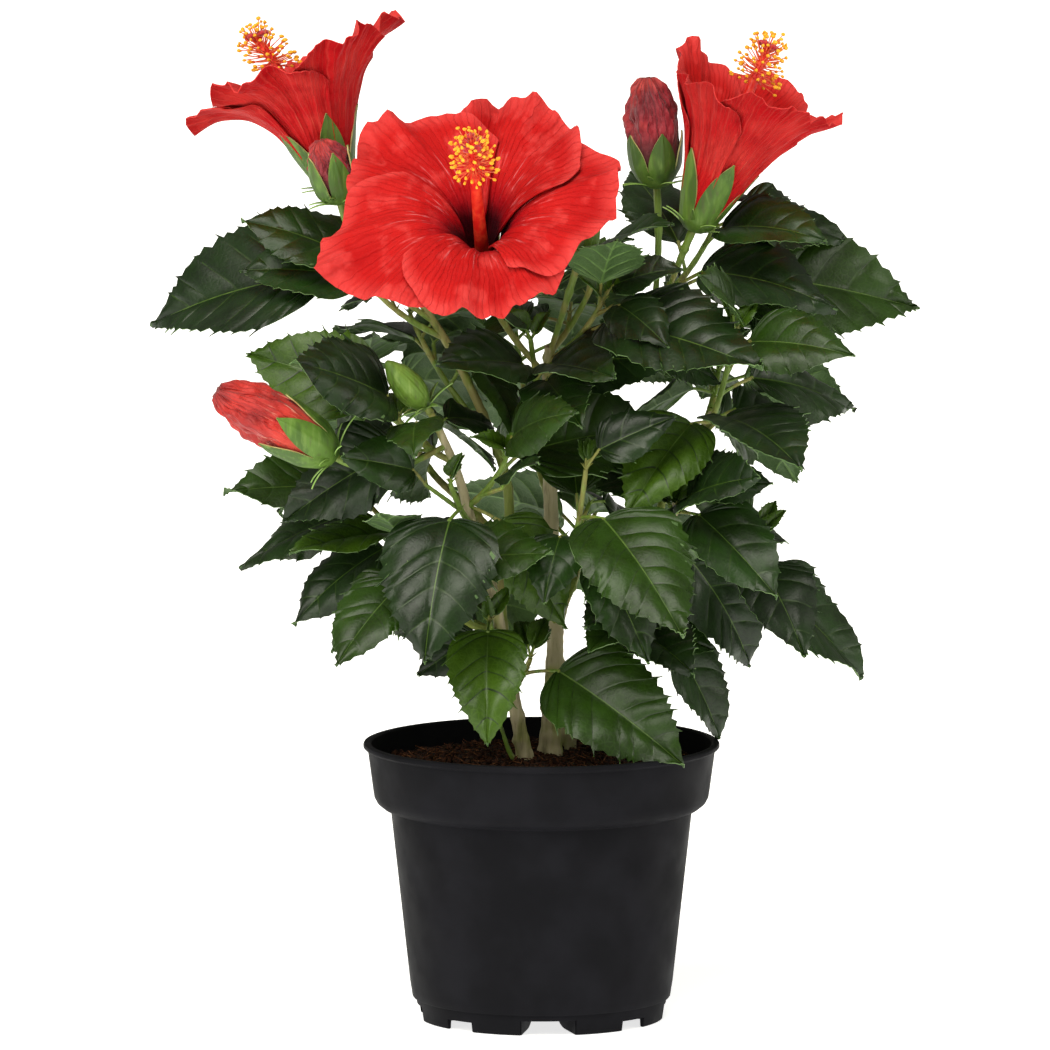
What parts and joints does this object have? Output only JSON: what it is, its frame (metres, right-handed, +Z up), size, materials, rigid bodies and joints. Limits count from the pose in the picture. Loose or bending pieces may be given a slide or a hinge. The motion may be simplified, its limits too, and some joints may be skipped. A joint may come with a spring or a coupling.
{
  "type": "hibiscus shrub in a nursery pot",
  "caption": "Potted hibiscus shrub: a clump of leaning woody stems with side boughs, toothed glossy leaves, open funnel-shaped blooms and buds, in a round pot.",
  "frame": {"origin": "centre of the pot's central foot pad, on the surface the pot stands on", "axes": "+Z up along the pot's axis, -Y towards the side that the largest open bloom faces, +X to the right seen from there"},
  "size_m": [0.2819, 0.1985, 0.3648],
  "materials": {
    "pot": "black moulded polypropylene, satin",
    "soil": "moist dark peat with fibres",
    "stem": "thin grey-brown bark",
    "bough": "smooth green young bark",
    "petal": "soft coral-red petals with fine veins",
    "bud": "green sepals around furled red petals",
    "leaf": "glossy dark green leaves, paler below"
  },
  "bodies": {
    "root": {"pot": "pot", "soil": "soil", "stem_left": "stem", "stem_middle": "stem", "stem_right": "stem", "bough_middle": "bough", "bough_left_low": "bough", "bough_right_low": "bough", "bough_right_top": "bough", "bough_front": "bough", "bough_back": "bough", "bough_back_left": "bough", "bough_back_right": "bough", "bough_back_low": "bough", "bloom_front": "petal", "bloom_left": "petal", "bloom_right": "petal", "bud_left": "bud", "bud_top": "bud", "bud_by_bloom": "bud", "bud_green": "bud", "bud_young_top": "bud", "bud_young_low": "bud", "leaves_left_top": "leaf", "leaves_left_middle": "leaf", "leaves_left_front": "leaf", "leaves_left_side": "leaf", "leaves_left_low": "leaf", "leaves_foot": "leaf", "leaves_low_front": "leaf", "leaves_centre": "leaf", "leaves_front": "leaf", "leaves_front_top": "leaf", "leaves_right_inner": "leaf", "leaves_right_top": "leaf", "leaves_right_middle": "leaf", "leaves_right_front": "leaf", "leaves_right_low": "leaf", "leaves_right_foot": "leaf", "leaves_crown": "leaf", "leaves_back": "leaf", "leaves_back_left": "leaf", "leaves_back_right": "leaf", "leaves_back_low": "leaf", "leaves_left_back_top": "leaf"}
  },
  "joints": []
}
